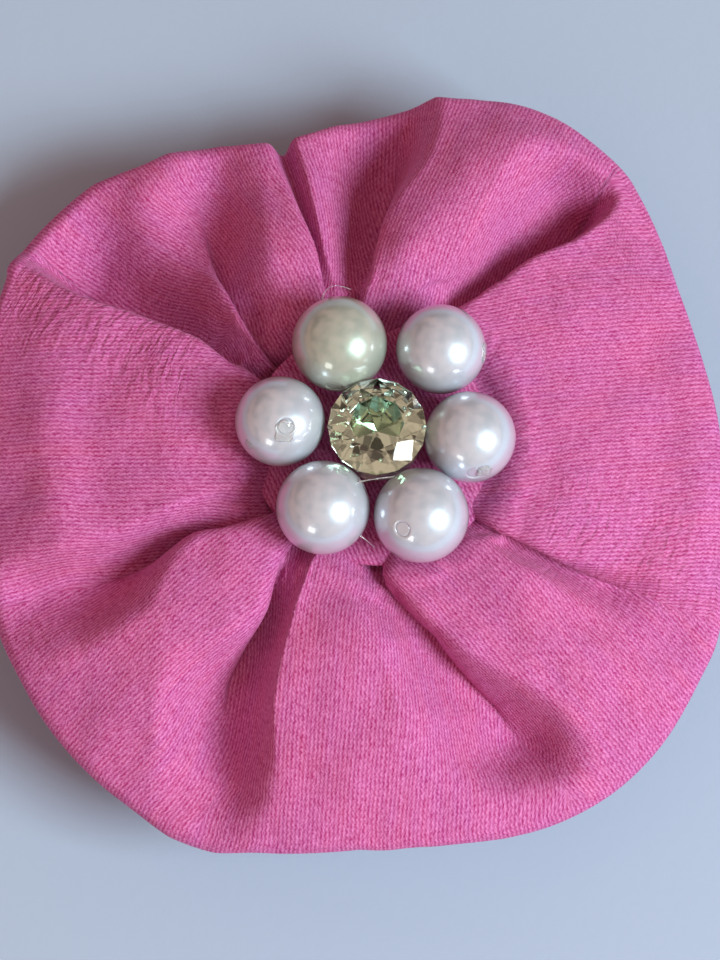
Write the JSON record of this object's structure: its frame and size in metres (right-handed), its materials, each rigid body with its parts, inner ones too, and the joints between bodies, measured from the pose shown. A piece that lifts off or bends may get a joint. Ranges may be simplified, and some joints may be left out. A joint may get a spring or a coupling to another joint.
{
  "type": "flower hair clip",
  "caption": "Padded fabric flower with a ring of bead pearls round a faceted glass stone, glued to a felt disc on a sprung alligator hair clip.",
  "frame": {"origin": "middle of the flower's outline, at the height of the squeeze pad's underside, the lowest face with the clip closed", "axes": "+Z out of the flower's face, +X along the clip from its tip to its squeeze pad, +Y across the clip"},
  "size_m": [0.0656, 0.0686, 0.0245],
  "materials": {
    "crepe_fabric": "orchid pink stretch crepe with fine ribs, matt with a soft sheen",
    "thread": "matching sewing thread",
    "clear_glue": "clear hot-melt glue, glossy",
    "pearl": "silvery white pearl lacquer over a plastic bead",
    "cream_pearl": "creamier pearl lacquer over a plastic bead",
    "stone_glass": "clear cut glass, faintly green",
    "mirror_coat": "mirror coat on the back of the stone",
    "felt": "craft felt, matt and fuzzy",
    "plated_steel": "bright nickel plate on stamped sheet steel",
    "spring_steel": "drawn spring wire"
  },
  "bodies": {
    "flower": {"flower_fabric": "crepe_fabric", "heart_patch": "crepe_fabric", "gathering_thread": "thread", "fabric_glue": "clear_glue", "patch_glue": "clear_glue", "pearl_glue": "clear_glue", "clip_glue": "clear_glue", "glass_stone": "stone_glass", "stone_foil": "mirror_coat", "backing_felt": "felt", "clip_strap": "felt", "fixed_jaw": "plated_steel", "hinge_pin": "plated_steel", "torsion_spring": "spring_steel", "pearl_1": "pearl", "pearl_2": "pearl", "pearl_3": "cream_pearl", "pearl_4": "pearl", "pearl_5": "pearl", "pearl_6": "pearl"},
    "moving_jaw": {"moving_jaw": "plated_steel"}
  },
  "joints": [
    {"name": "jaw_hinge", "type": "hinge", "parent": "flower", "child": "moving_jaw", "pos_m": [0.00913, 0.00171, 0.006], "axis": [0, -1, 0], "range_deg": [0, 28], "stiffness_Nm_per_rad": 0.018, "springref_deg": -85.94, "deforming": ["torsion_spring"]}
  ]
}
